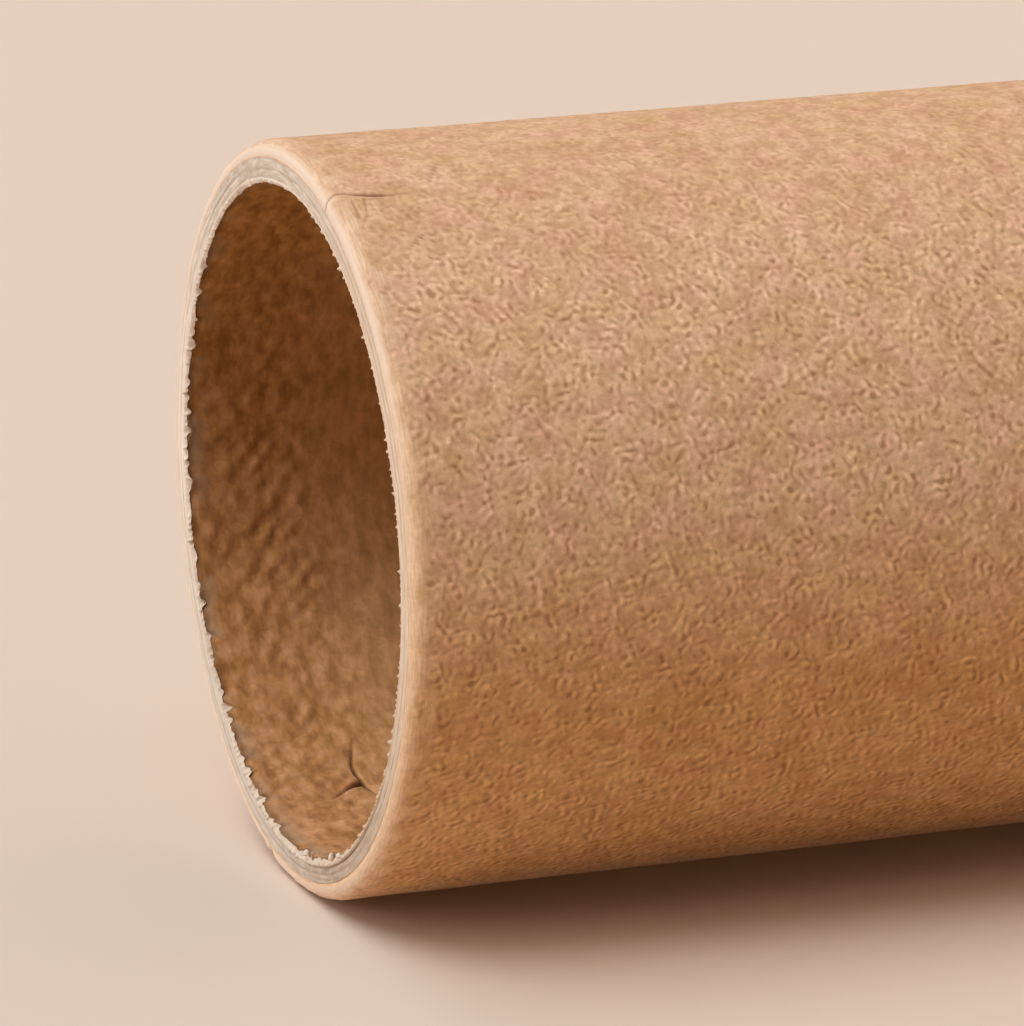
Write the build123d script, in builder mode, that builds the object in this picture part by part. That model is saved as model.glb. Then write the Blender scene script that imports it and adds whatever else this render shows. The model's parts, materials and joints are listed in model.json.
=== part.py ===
"""Spiral-wound cardboard mailing tube, open at both ends and standing on its plain end.

The tube's axis is +Z. The worn cut end is at the top and the origin is the centre of the foot.
"""

import os
from math import cos, pi, radians, sin, tan

from build123d import *

# Driving dimensions of the tube, in millimetres
length = 330.0          # end to end
bore_diameter = 50.0    # clear inside diameter
wall = 3.2              # all the wound plies together
edge_radius = 1.1       # outer ply rolled over at each cut end
overrun = 1.0           # every cut starts this far outside the wall

# Plies that show as rings on the worn end, counted from the bore
inner_ply = 0.4
core_ply = 0.75
core_ply_count = 2
ply_line_width = 0.16
ply_line_depth = 0.14

# Ragged inner lip of the worn end: its notches bite into the inner ply, deepest on one side
lip_reach = 0.34
lip_worn_angle = 75.0
lip_clean_share = 0.45
lip_depth = 0.45
lip_point_count = 160
lip_wave_counts = (19, 31, 47)
lip_mean_share = 0.55
lip_swing_share = 0.45

# Outer ply: a strip wound edge to edge, which leaves one spiral line along the tube
winding_angle = 42.0
seam_top_angle = 125.0
seam_width = 0.5
seam_depth = 0.2

# Split in the outer ply, running down from the worn end
split_angle = 295.3
split_length = 7.1
split_sway = 0.9
split_width = 0.34
split_depth = 0.35
split_line_shares = (
    (0.0, -0.55, 1.0),
    (0.08, 0.10, 1.0),
    (0.17, 0.50, 0.9),
    (0.29, 0.36, 0.7),
    (0.41, 0.08, 0.6),
    (0.62, -0.15, 0.4),
    (0.73, 0.0, 0.3),
    (1.0, 0.0, 0.0),
)

# Three-armed tear in the inner ply, a little way down the bore
tear_angle = 115.8
tear_drop = 8.5
tear_size = 4.7
tear_width = 0.45
tear_depth = 0.3
tear_tip_shares = ((0.14, -1.0), (0.13, 0.32), (-0.57, 0.30))

# Sizes that follow from the driving dimensions
bore_radius = bore_diameter / 2
outer_radius = bore_radius + wall
seam_pitch = 2 * pi * outer_radius * tan(radians(winding_angle))
seam_foot_angle = seam_top_angle - 360 * (length + overrun) / seam_pitch


def wall_plane(angle, radius, height):
    """Plane that faces out of the wall: its x runs down the tube and its y to the side."""
    outward = Vector(cos(radians(angle)), sin(radians(angle)), 0)
    return Plane(origin=outward * radius + Vector(0, 0, height), x_dir=(0, 0, -1), z_dir=outward)


def lip_wear(turn_share):
    """How worn the lip is at a share of a full turn: 1 on its worst side and the clean share across from it."""
    facing = (1 + cos(2 * pi * turn_share - radians(lip_worn_angle))) / 2
    return lip_clean_share + (1 - lip_clean_share) * facing


def lip_radius(turn_share):
    """Radius of the torn lip at a share of a full turn: three waves that never fall in step."""
    waves = [sin(2 * pi * (count * turn_share + index / 3)) for index, count in enumerate(lip_wave_counts)]
    swing = sum(waves) / len(waves)
    return bore_radius + lip_reach * lip_wear(turn_share) * (lip_mean_share + lip_swing_share * swing)


def lip_points():
    """Closed outline of the torn lip, seen from above."""
    turns = [index / lip_point_count for index in range(lip_point_count)]
    return [(lip_radius(turn) * cos(2 * pi * turn), lip_radius(turn) * sin(2 * pi * turn)) for turn in turns]


def split_points():
    """Outline of the split: one side down to its tip, then the other side back."""
    near_side = []
    far_side = []
    for down_share, sway_share, width_share in split_line_shares:
        down = down_share * split_length
        middle = sway_share * split_sway
        half_width = width_share * split_width / 2
        near_side.append((down, middle - half_width))
        far_side.append((down, middle + half_width))
    return near_side + far_side[-2::-1]


def tear_arm(tip_shares):
    """One arm of the tear: a thin triangle from the middle of the tear to its tip."""
    tip = Vector(*tip_shares) * tear_size
    across = Vector(-tip.Y, tip.X).normalized() * (tear_width / 2)
    return [across, tip, -across]


# Outer line of the strip's edges, as a shallow V swept along a helix
with BuildPart() as seam_cutter:
    with BuildLine() as seam_path:
        Helix(pitch=seam_pitch, height=length + 2 * overrun, radius=outer_radius, center=(0, 0, -overrun))
    seam_start = Plane(origin=seam_path.line @ 0, x_dir=(1, 0, 0), z_dir=seam_path.line % 0)
    with BuildSketch(seam_start) as seam_section:
        with BuildLine():
            Polyline((-seam_depth, 0), (seam_depth, seam_width), (seam_depth, -seam_width), close=True)
        make_face()
    sweep(path=seam_path.line, is_frenet=True)

with BuildPart() as tube:
    # Wound wall: one section through the plies, turned about the axis
    with BuildSketch(Plane.XZ) as wall_section:
        with Locations((bore_radius, 0)):
            Rectangle(wall, length, align=(Align.MIN, Align.MIN))
        fillet(wall_section.vertices().group_by(Axis.X)[-1], radius=edge_radius)
        for ply in range(core_ply_count + 1):
            line_radius = bore_radius + inner_ply + ply * core_ply
            with BuildLine(mode=Mode.PRIVATE) as ply_line:
                Polyline(
                    (line_radius, length - ply_line_depth),
                    (line_radius + ply_line_width, length + ply_line_depth),
                    (line_radius - ply_line_width, length + ply_line_depth),
                    close=True,
                )
            make_face(ply_line.edges(), mode=Mode.SUBTRACT)
    revolve(axis=Axis.Z)

    # Torn inner lip of the worn end
    with BuildSketch(Plane.XY.offset(length - lip_depth)):
        with BuildLine():
            Polyline(*lip_points(), close=True)
        make_face()
    extrude(amount=lip_depth + overrun, mode=Mode.SUBTRACT)

    # Spiral line where the edges of the outer strip meet
    with Locations(Location((0, 0, 0), (0, 0, seam_foot_angle))):
        add(seam_cutter.part, mode=Mode.SUBTRACT)

    # Split in the outer ply
    with BuildSketch(wall_plane(split_angle, outer_radius - split_depth, length)):
        with BuildLine():
            Polyline(*split_points(), close=True)
        make_face()
    extrude(amount=split_depth + overrun, mode=Mode.SUBTRACT)

    # Tear in the inner ply
    with BuildSketch(wall_plane(tear_angle, bore_radius + tear_depth, length - tear_drop)):
        for tip in tear_tip_shares:
            with BuildLine():
                Polyline(*tear_arm(tip), close=True)
            make_face()
    extrude(amount=-(tear_depth + overrun), mode=Mode.SUBTRACT)

tube.part.label = "tube"

os.makedirs("parts", exist_ok=True)
export_step(tube.part, "parts/tube.step")
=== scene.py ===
"""Kraft mailing tube in three pieces: outer ply, inner board and the torn fibres on its lip.

The tube stands on its plain end. The photograph shows it lying on a table, so a wall beside the tube
stands in for that table, and the camera is rolled to see both as the photograph does.
"""

import json
import math

import bpy
import numpy as np
from mathutils import Matrix, Vector


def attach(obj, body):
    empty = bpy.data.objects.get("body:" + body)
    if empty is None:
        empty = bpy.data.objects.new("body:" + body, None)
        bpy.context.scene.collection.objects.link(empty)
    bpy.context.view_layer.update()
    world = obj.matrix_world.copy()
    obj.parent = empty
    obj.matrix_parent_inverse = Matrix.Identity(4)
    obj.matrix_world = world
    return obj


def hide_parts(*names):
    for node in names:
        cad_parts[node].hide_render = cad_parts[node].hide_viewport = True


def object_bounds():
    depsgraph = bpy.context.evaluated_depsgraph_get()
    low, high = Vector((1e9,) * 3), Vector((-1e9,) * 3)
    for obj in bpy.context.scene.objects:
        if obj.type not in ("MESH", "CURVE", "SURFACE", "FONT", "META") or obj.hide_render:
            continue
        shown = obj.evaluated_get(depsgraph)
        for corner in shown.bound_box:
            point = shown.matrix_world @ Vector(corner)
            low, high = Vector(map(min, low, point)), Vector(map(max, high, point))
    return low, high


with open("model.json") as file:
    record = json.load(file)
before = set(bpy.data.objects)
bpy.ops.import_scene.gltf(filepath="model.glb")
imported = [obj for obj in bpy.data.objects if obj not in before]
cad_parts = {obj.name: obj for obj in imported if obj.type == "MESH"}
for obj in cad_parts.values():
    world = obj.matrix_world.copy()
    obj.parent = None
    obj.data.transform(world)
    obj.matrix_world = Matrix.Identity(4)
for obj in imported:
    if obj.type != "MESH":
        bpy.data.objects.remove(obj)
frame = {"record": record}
CAD_LOW, CAD_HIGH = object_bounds()

# Lengths are in millimetres unless a comment says otherwise
MM = 0.001
LENGTH = CAD_HIGH.z / MM
OUTER = CAD_HIGH.x / MM
BORE = next(m["dims"]["r_mm"] for m in frame["record"]["mounts"] if m["name"] == "bore")

# The wall's build, as the solid has it
EDGE = 1.1
INNER_PLY = 0.4
CORE_PLY = 0.75
LIP_LINE = BORE + INNER_PLY
CORE_LINE = LIP_LINE + CORE_PLY
PLY_RADIUS = CORE_LINE + CORE_PLY
SEAM_TURN = math.radians(42.0)
SEAM_PITCH = math.tau * OUTER * math.tan(SEAM_TURN)
SEAM_TOP = math.radians(125.0)
SEAM_WIDTH = 0.5
SEAM_DEPTH = 0.2

# Split in the outer ply: places down the tube and to the side, and how open it is along them
SPLIT_ANGLE = math.radians(295.3)
SPLIT_LINE = (
    (-0.65, -0.1),
    (0.0, 0.25),
    (0.6, 0.38),
    (1.2, 0.36),
    (2.05, 0.1),
    (3.0, -0.1),
    (4.5, -0.28),
    (7.1, -0.3),
)
SPLIT_SHARES = (0.0, 0.2, 0.38, 0.45, 0.62, 0.7, 1.0)
SPLIT_OPENING = (0.7, 0.5, 0.7, 1.0, 0.95, 0.4, 0.15)
SPLIT_TIP = 0.995
SPLIT_DEPTH = 0.22
SPLIT_HALF_WIDTH = 0.11
# Paper that curls up along one side of the split
CURL_HEIGHT = 0.05
CURL_SIDE = 0.1
CURL_OFFSET = 0.35
CURL_HALF_WIDTH = 0.25
# Short creases beside the split, each from one place to another
CREASES = (
    ((1.7, -0.6), (1.65, -2.8)),
    ((2.7, -0.55), (2.3, -2.5)),
    ((6.3, -2.1), (5.3, -3.5)),
    ((5.9, -5.0), (4.1, -6.4)),
    ((9.6, 3.6), (8.0, 0.8)),
)
CREASE_SHARE = 0.5
CREASE_HALF_WIDTH = 0.12

# Three-armed tear in the bore: each arm's points, down the tube and to the side of the middle
TEAR_ANGLE = math.radians(115.8)
TEAR_DROP = 8.5
TEAR_ARMS = (
    ((0, 0), (-0.2, -2.1), (0.65, -4.7)),
    ((0, 0), (0.63, 1.5)),
    ((0, 0), (-1.6, 0.6), (-2.7, 1.4)),
)
TEAR_DEPTH = 0.4
TEAR_HALF_WIDTH = 0.17
TEAR_NARROWING = 0.08
TEAR_FADING = 0.6
# Flap of paper above the tear's middle, bent into the bore
FLAP_DEPTH = 0.25
FLAP_DOWN = -0.9
FLAP_SIDE = -0.2
FLAP_SPREAD = 0.7

# The photograph's camera, from the tube's outline in it
PHOTO_SIZE = (1024, 1026)
FOCAL_PIXELS = 7278.0
SENSOR = 36.0
CAMERA_PITCH = math.radians(15.47)
CAMERA_YAW = math.radians(20.08)
END_PIXEL = (287.9, 521.4)
END_DEPTH = 536.9 * MM

# Directions of the lying tube of the photograph, in the standing tube's frame
TABLE_UP = Vector((1, -1, 0)).normalized()
ALONG = Vector((0, 0, -1))
AWAY = TABLE_UP.cross(ALONG)

# Coarse rings of a mesh keep one point of so many
THIN = 3
SPREAD_SAMPLES = 20001


def ripples(seed, terms, turns, waves):
    """A smooth random field over angle and distance, of unit spread.

    Turns and waves give the least and most waves per turn and per millimetre.
    """
    rng = np.random.default_rng(seed)
    counts = rng.integers(turns[0], turns[1] + 1, terms) * rng.choice((-1, 1), terms)
    rates = rng.uniform(waves[0], waves[1], terms) * math.tau
    phases = rng.uniform(0, math.tau, terms)

    def field(angle, along):
        angle, along = np.broadcast_arrays(angle, along)
        total = np.zeros(angle.shape)
        for count, rate, phase in zip(counts, rates, phases):
            total += np.cos(count * angle + rate * along + phase)
        return total * math.sqrt(2 / terms)

    return field


def smooth_step(low, high, value):
    """0 below low, 1 above high, and a soft rise between them."""
    share = np.clip((value - low) / (high - low), 0, 1)
    return share * share * (3 - 2 * share)


def bell(distance, half_width):
    """1 at no distance, falling off softly to both sides."""
    return np.exp(-(distance / half_width) ** 2)


def turn_between(angle, middle):
    """Signed angle from a middle, between minus half a turn and half a turn."""
    return (angle - middle + math.pi) % math.tau - math.pi


def hump(angle, middle, half_width):
    """1 at a middle angle, falling off softly to both sides."""
    return bell(turn_between(angle, middle), half_width)


def humps(angle, *sides):
    """Sum of soft humps, each with its middle angle, half width and gain."""
    return sum(gain * hump(angle, middle, half_width) for middle, half_width, gain in sides)


def line_distance(x, y, points):
    """Distance from each place to a line through points, and the nearest share of that line."""
    best = np.full(x.shape, np.inf)
    reached = np.zeros(x.shape)
    done = 0.0
    total = sum(math.dist(a, b) for a, b in zip(points, points[1:]))
    for (ax, ay), (bx, by) in zip(points, points[1:]):
        span = math.dist((ax, ay), (bx, by))
        share = np.clip(((x - ax) * (bx - ax) + (y - ay) * (by - ay)) / span ** 2, 0, 1)
        gap = np.hypot(x - ax - share * (bx - ax), y - ay - share * (by - ay))
        nearer = gap < best
        best = np.where(nearer, gap, best)
        reached = np.where(nearer, (done + share * span) / total, reached)
        done += span
    return best, reached


def spread_angles(count, dense):
    """Angles round the tube, closer together near each dense (angle, half width, gain)."""
    fine = np.linspace(0, math.tau, SPREAD_SAMPLES)
    weight = np.ones_like(fine)
    for middle, half_width, gain in dense:
        weight += gain * hump(fine, middle, half_width)
    reached = np.concatenate([[0], np.cumsum((weight[1:] + weight[:-1]) / 2)])
    return np.interp(np.arange(count) / count * reached[-1], reached, fine)


def ring_points(angle, radius, height):
    """One ring of places in metres."""
    angle, radius, height = np.broadcast_arrays(angle, radius, height)
    return np.stack([radius * np.cos(angle), radius * np.sin(angle), height], axis=1) * MM


def new_piece(name, points, faces, zones, slots=None):
    """A smooth mesh object with its zone weights, and each face's material slot if it has several."""
    mesh = bpy.data.meshes.new(name)
    mesh.from_pydata(points, [], faces)
    mesh.polygons.foreach_set("use_smooth", np.ones(len(faces), dtype=bool))
    if slots is not None:
        mesh.polygons.foreach_set("material_index", slots)
    layer = mesh.attributes.new("zones", "FLOAT_COLOR", "POINT")
    layer.data.foreach_set("color", zones.astype(np.float32).ravel())
    mesh.update()
    piece = bpy.data.objects.new(name, mesh)
    bpy.context.scene.collection.objects.link(piece)
    return piece


def closed_mesh(name, made, ring_slots, turned=False):
    """A closed skin over made rings of points and zone weights, the last joined to the first.

    A ring may be coarser than its neighbour. The skin is turned over where the rings run outward.
    """
    rings = [points for points, zones in made]
    starts = np.cumsum([0] + [len(ring) for ring in rings])
    faces = []
    slots = []
    for index, ring in enumerate(rings):
        after = (index + 1) % len(rings)
        few, many = len(ring), len(rings[after])
        here, there = starts[index], starts[after]
        for i in range(min(few, many)):
            j = (i + 1) % min(few, many)
            if few == many:
                faces.append((here + i, here + j, there + j, there + i))
            elif few > many:
                fine = [here + (THIN * i + k) % few for k in range(THIN + 1)]
                faces.append((*fine, there + j, there + i))
            else:
                fine = [there + (THIN * i + k) % many for k in range(THIN, -1, -1)]
                faces.append((here + i, here + j, *fine))
        slots += [ring_slots[index]] * min(few, many)
    if turned:
        faces = [face[::-1] for face in faces]
    weights = np.concatenate([zones for points, zones in made])
    return new_piece(name, np.concatenate(rings), faces, weights, np.array(slots, dtype=np.int32))


def zone_values(count, red=0.0, green=0.0, blue=0.0, alpha=0.5):
    """Zone weights of one ring."""
    columns = [np.broadcast_to(value, count) for value in (red, green, blue, alpha)]
    return np.stack(columns, axis=1)


# Outer ply: rolled over at both ends, with the spiral line and the split

OUTER_COLUMNS = 780
OUTER_ROLL_RINGS = 17
OUTER_FOOT_RINGS = 9
# Where the columns stop running straight down and start to follow the winding
AXIAL_REACH = 10.5
# Rings down the side: from, to and step, finest near the photographed end
SIDE_RINGS = ((EDGE + 0.15, 4, 0.15), (4, AXIAL_REACH, 0.28), (AXIAL_REACH, 64, 1.8))
COARSE_RINGS = (65, LENGTH - EDGE - 1, 5.0)
# The skin hidden between the plies: its lower end, its drop under the face, and the crack's rings
HIDDEN_FOOT = 0.3
HIDDEN_DROP = 0.03
CRACK_RINGS = ((0.01, 0.012), (0.04, 0.004), (0.1, 0.001))
FOOT_INSET = 0.05
# Where columns are closer together: beside the split and along the spiral line
DENSE_SPLIT = (SPLIT_ANGLE - math.radians(2.0), math.radians(4.5), 2.4)
DENSE_SEAM = (math.radians(2.2), 2.0)

# Depths of the paper's unevenness, and how far down the tube the worn edge fades
SWAY_DEPTH = 0.05
DENT_DEPTH = 0.018
EDGE_DENT_DEPTH = 0.03
EDGE_NICK_DEPTH = 0.01
EDGE_FADE = 2.5
EDGE_WEAR_SPREAD = 0.13
# What is pressed counts less on the flat end than on the side, and less outward than inward
END_PRESS = 0.3
SIDE_PRESS = 0.7
OUTWARD_PRESS = 0.6
# The spiral line's groove as a share of its width, and the strip's edge lifted beside it
GROOVE_SHARE = 0.42
LIFT_HEIGHT = 0.05
LIFT_OFFSET = 0.7
LIFT_HALF_WIDTH = 0.5
# Where the rolled edge is rubbed: angle, half width and gain
RUBBED_SIDES = (
    (math.radians(305), math.radians(45), 1.0),
    (math.radians(70), math.radians(75), 0.9),
)
outer_sway = ripples(11, 40, (2, 9), (0.0, 0.02))
outer_dents = ripples(12, 60, (4, 40), (0.0, 0.12))
edge_dents = ripples(13, 70, (8, 90), (0.0, 0.3))
edge_nicks = ripples(14, 90, (60, 240), (0.1, 0.8))
edge_wear = ripples(15, 90, (6, 70), (0.1, 0.6))


def seam_angle(height):
    """Angle of the spiral line at a height."""
    return SEAM_TOP - math.tau * (LENGTH - height) / SEAM_PITCH


def rolled_rings(middle_height, first_lean, last_lean, count):
    """Rings of a rolled edge: radius, height and lean."""
    middle = OUTER - EDGE
    leans = np.linspace(first_lean, last_lean, count)
    return [(middle + EDGE * math.sin(t), middle_height + EDGE * math.cos(t), t) for t in leans]


def outer_profile():
    """Fine and coarse rings of the outer ply, from the hidden inside over the top to the foot.

    Each is a radius, a height and a lean: the angle from facing up, or none where it is hidden.
    """
    upright = math.pi / 2
    inside = [(PLY_RADIUS, HIDDEN_FOOT, None), (PLY_RADIUS, LENGTH - HIDDEN_DROP, None)]
    crack = [(PLY_RADIUS + out, LENGTH - drop, None) for out, drop in CRACK_RINGS]
    rolled = rolled_rings(LENGTH - EDGE, 0, upright, OUTER_ROLL_RINGS)
    downs = np.concatenate([np.arange(*span) for span in SIDE_RINGS])
    side = [(OUTER, LENGTH - down, upright) for down in downs]
    coarse = [(OUTER, LENGTH - down, upright) for down in np.arange(*COARSE_RINGS)]
    foot = rolled_rings(EDGE, upright, math.pi, OUTER_FOOT_RINGS)
    under = [(PLY_RADIUS + FOOT_INSET, 0.0, None)]
    return inside + crack + rolled + side, coarse + foot + under


def split_press(angle, reach):
    """How deep the split and its creases press in, from 0 to 1, and the curl beside the split."""
    side = turn_between(angle, SPLIT_ANGLE) * OUTER
    place = np.full(angle.shape, reach)
    gap, reached = line_distance(place, side, SPLIT_LINE)
    opening = np.interp(reached, SPLIT_SHARES, SPLIT_OPENING)
    cleft = opening * bell(gap, SPLIT_HALF_WIDTH) * (reached < SPLIT_TIP)
    curl = bell(gap - CURL_OFFSET, CURL_HALF_WIDTH) * (side > CURL_SIDE) * (1 - reached)
    for crease in CREASES:
        gap = line_distance(place, side, crease)[0]
        cleft = np.maximum(cleft, CREASE_SHARE * bell(gap, CREASE_HALF_WIDTH))
    return cleft, curl


def outer_ring(base, radius, height, lean):
    """One ring of the outer ply, with its dents, its spiral line and the split pressed in."""
    down = LENGTH - height
    shear = math.tau * max(0.0, down - AXIAL_REACH) / SEAM_PITCH
    angle = base - shear
    if lean is None:
        return ring_points(angle, radius, height), zone_values(len(angle))
    reach = min(down, EDGE - EDGE * (math.pi / 2 - lean)) if down < EDGE else down
    near_end = math.exp(-min(down, height) / EDGE_FADE)
    press = SWAY_DEPTH * outer_sway(angle, height) + DENT_DEPTH * outer_dents(angle, height)
    edge_press = EDGE_DENT_DEPTH * edge_dents(angle, reach) + EDGE_NICK_DEPTH * edge_nicks(angle, reach)
    press += near_end * edge_press
    across = turn_between(angle, seam_angle(height)) * OUTER * math.sin(SEAM_TURN)
    groove = bell(across, GROOVE_SHARE * SEAM_WIDTH)
    lifted = bell(across - LIFT_OFFSET, LIFT_HALF_WIDTH)
    press += LIFT_HEIGHT * lifted - SEAM_DEPTH * groove
    cleft, curl = split_press(angle, reach)
    press += CURL_HEIGHT * curl - SPLIT_DEPTH * cleft
    press *= math.sin(lean) * SIDE_PRESS + END_PRESS
    press = np.where(press < 0, press, OUTWARD_PRESS * press)
    lift = press * math.cos(lean) if height > EDGE else 0.0
    points = ring_points(angle, radius + press * math.sin(lean), height + lift)
    worn = 0.5 + EDGE_WEAR_SPREAD * edge_wear(angle, reach)
    rubbed = humps(angle, *RUBBED_SIDES)
    return points, zone_values(len(angle), red=cleft, green=groove, blue=rubbed, alpha=worn)


def make_outer_ply():
    """The kraft outer ply as one closed skin, finer near the photographed end."""
    dense_seam = (seam_angle(LENGTH - AXIAL_REACH), *DENSE_SEAM)
    base = spread_angles(OUTER_COLUMNS, (DENSE_SPLIT, dense_seam))
    fine, coarse = outer_profile()
    made = [outer_ring(base, *ring) for ring in fine]
    made += [outer_ring(base[::THIN], *ring) for ring in coarse]
    # The hidden inside starts at the foot, where the rings are coarse, so its first ring is thinned too
    made[0] = outer_ring(base[::THIN], *fine[0])
    return closed_mesh("outer_ply", made, [0] * len(made), turned=True)


# Board inside the outer ply: bore, torn lip and cut face

BOARD_COLUMNS = 1560
DENSE_TEAR = (TEAR_ANGLE, math.radians(9), 2.5)
# Rings of the cut face: share of the way out and drop at its edge, then shares on its flat
FACE_EDGE_RINGS = ((0.99, 0.012), (0.96, 0.003))
FACE_SHARES = np.linspace(0.92, 0.01, 19)
FACE_EDGE_DROP = 0.15
LIP_SHARES = np.linspace(1.0, 0.0, 9)
# Rings down the bore: from, to and step near the photographed end, then heights to the foot
BORE_RINGS = ((0.1, 0.7, 0.2), (1.2, 5.0, 0.45), (5.0, 9.4, 0.13), (9.8, 22, 1.0))
BORE_HEIGHTS = (*np.linspace(LENGTH - 26, 12, 14), 5, 1.2, 0.35)
# Rings of the plain foot: radius and height
FOOT_EDGE_RINGS = ((BORE + 0.05, 0.08), (BORE + 0.2, 0.0))
FOOT_RADII = np.linspace(BORE + 0.6, PLY_RADIUS - 0.1, 4)

lip_grain = ripples(21, 120, (110, 420), (0.3, 1.2))
lip_patches = ripples(22, 30, (3, 14), (0.0, 0.1))
lip_scallops = ripples(23, 40, (10, 48), (0.0, 0.2))
lip_teeth = ripples(28, 60, (36, 130), (0.0, 0.2))
face_streaks = ripples(24, 110, (14, 120), (0.5, 2.6))
face_pits = ripples(25, 110, (90, 360), (0.8, 3.0))
bore_dents = ripples(26, 60, (3, 26), (0.02, 0.16))
bore_crumple = ripples(27, 120, (24, 110), (0.1, 0.7))

# Where the lip is torn most: the side away from the photograph's camera, and the low side
RAGGED_SIDES = (
    (math.radians(50), math.radians(55), 1.0),
    (math.radians(135), math.radians(40), 0.85),
)
LIP_BASE = 0.4
LIP_UNEVEN = 0.1
LIP_WEAR_RANGE = (0.15, 1.1)
# Where the lip is thick and fluffy, and where its ply has come away from the core
THICK_LIP = (math.radians(148), math.radians(24), 0.2)
OPEN_PLY = (math.radians(172), math.radians(14), 0.25)
# Tufts of the lip that the photograph shows: angle in degrees, half width and how far each hangs down
TUFTS = (
    (22, 0.7, 0.45),
    (27, 0.9, 0.6),
    (40, 0.6, 0.4),
    (53, 1.0, 0.5),
    (66, 0.7, 0.4),
    (94.5, 0.5, 0.8),
    (97, 0.8, 0.45),
    (109, 0.8, 0.6),
    (117, 0.6, 0.7),
    (126, 0.8, 0.5),
    (158, 0.8, 0.5),
    (318, 0.4, 0.45),
    (342, 0.5, 0.5),
)
TUFT_POINT = 1.4
TUFT_GRAIN = 0.06
# Bites into the torn edge, and the ragged fringe that hangs from it all round
BITE_DEPTH = 0.13
BITE_MOST = 1.6
BITE_ROUND = 0.7
BITE_GRAIN = 0.035
FRINGE_DROP = 0.16
FRINGE_SCALLOP = 0.1
FRINGE_GRAIN = 0.035
FRINGE_TEETH = 0.2
TEETH_FROM = 0.6
FRINGE_LEAST = 0.06
# The lip's section: gap to the ply line, least width, fray and rise of its top, and its brim
LIP_LINE_SHIFT = 0.02
LIP_LINE_SWAY = 0.035
LIP_GAP = 0.04
LIP_LEAST = 0.08
LIP_FRAY = 0.012
FLUFF_FRAY = 0.03
SCALLOP_FRAY = 0.02
FRAY_RISE = 0.14
FRAY_FROM = 0.5
LIP_RISE = 0.02
FLUFF_RISE = 0.05
HANG_CURVE = 1.6
BRIM_BACK = 0.07
BRIM_RISE = 0.02
# Where the cut face is greyest
GREY_SIDES = (
    (math.radians(150), math.radians(28), 1.0),
    (math.radians(335), math.radians(45), 1.0),
)
# Relief of the cut face: the lip's edge, then ply lines with their radius, depth and half width
PLY_EDGE_SHIFT = 0.05
PLY_EDGE_DEPTH = 0.03
PLY_EDGE_HALF_WIDTH = 0.1
PLY_LINES = ((CORE_LINE, 0.04, 0.09), (CORE_LINE + 0.42, 0.025, 0.07))
PLY_LINE_SWAY = 0.06
STREAK_HEIGHT = 0.003
PIT_DEPTH = 0.006
# Unevenness of the bore, and how it starts under the torn lip
BORE_DENT_DEPTH = 0.035
BORE_CRUMPLE_DEPTH = 0.05
BORE_BITE = 0.05
BORE_BITE_FADE = 0.6
BORE_CROWDING = 0.4
PLAIN_FOOT = 2


def lip_wear(angle):
    """How torn the lip is at an angle, from a light fray to 1."""
    wear = np.full(np.shape(angle), LIP_BASE)
    for middle, half_width, gain in RAGGED_SIDES:
        wear += (gain - LIP_BASE) * hump(angle, middle, half_width)
    return np.clip(wear + LIP_UNEVEN * lip_patches(angle, 0.0), *LIP_WEAR_RANGE)


def lip_bite(angle):
    """How far the torn edge is bitten back into the inner ply: round bites with sharp teeth between."""
    scallop = np.minimum(np.abs(lip_scallops(angle, 0.0)), BITE_MOST) ** BITE_ROUND
    return lip_wear(angle) * (BITE_DEPTH * scallop + BITE_GRAIN * lip_grain(angle, 0.0))


def lip_drop(angle):
    """How far the torn lip hangs down the bore: ragged all round, with longer tufts in places."""
    ragged = FRINGE_SCALLOP * np.abs(lip_scallops(angle, 1.0)) + FRINGE_GRAIN * lip_grain(angle, 0.0)
    ragged += FRINGE_TEETH * np.clip(lip_teeth(angle, 0.0) - TEETH_FROM, 0, None)
    drop = FRINGE_DROP + lip_wear(angle) * ragged
    for degrees, half_width, reach in TUFTS:
        side = np.abs(turn_between(angle, math.radians(degrees))) * BORE / half_width
        tuft = (reach + TUFT_GRAIN * lip_grain(angle, 3.0)) * np.clip(1 - side ** TUFT_POINT, 0, 1)
        drop = np.maximum(drop, tuft)
    return np.maximum(drop, FRINGE_LEAST)


def lip_line(angle):
    """Radius where the lip's ply meets the core on the cut face."""
    sway = LIP_LINE_SWAY * lip_patches(angle, 4.0)
    return LIP_LINE + LIP_LINE_SHIFT + humps(angle, THICK_LIP) + sway


def board_profile():
    """Rings of the board, from the hidden outside over the face and down the bore to the foot.

    Each is a radius, or a share of the way across on the face and the lip, then a height and a part.
    """
    rings = [(PLY_RADIUS, HIDDEN_FOOT, "hidden"), (PLY_RADIUS, LENGTH - HIDDEN_DROP, "hidden")]
    rings += [(share, LENGTH - drop, "face") for share, drop in FACE_EDGE_RINGS]
    rings += [(share, LENGTH, "face") for share in FACE_SHARES]
    rings += [(share, LENGTH, "lip") for share in LIP_SHARES]
    rings += [(BORE, LENGTH, "brim")]
    downs = np.concatenate([np.arange(*span) for span in BORE_RINGS])
    rings += [(BORE, LENGTH - down, "bore") for down in downs]
    rings += [(BORE, height, "bore") for height in BORE_HEIGHTS]
    rings += [(radius, height, "foot") for radius, height in FOOT_EDGE_RINGS]
    rings += [(radius, 0.0, "foot") for radius in FOOT_RADII]
    return rings


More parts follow.
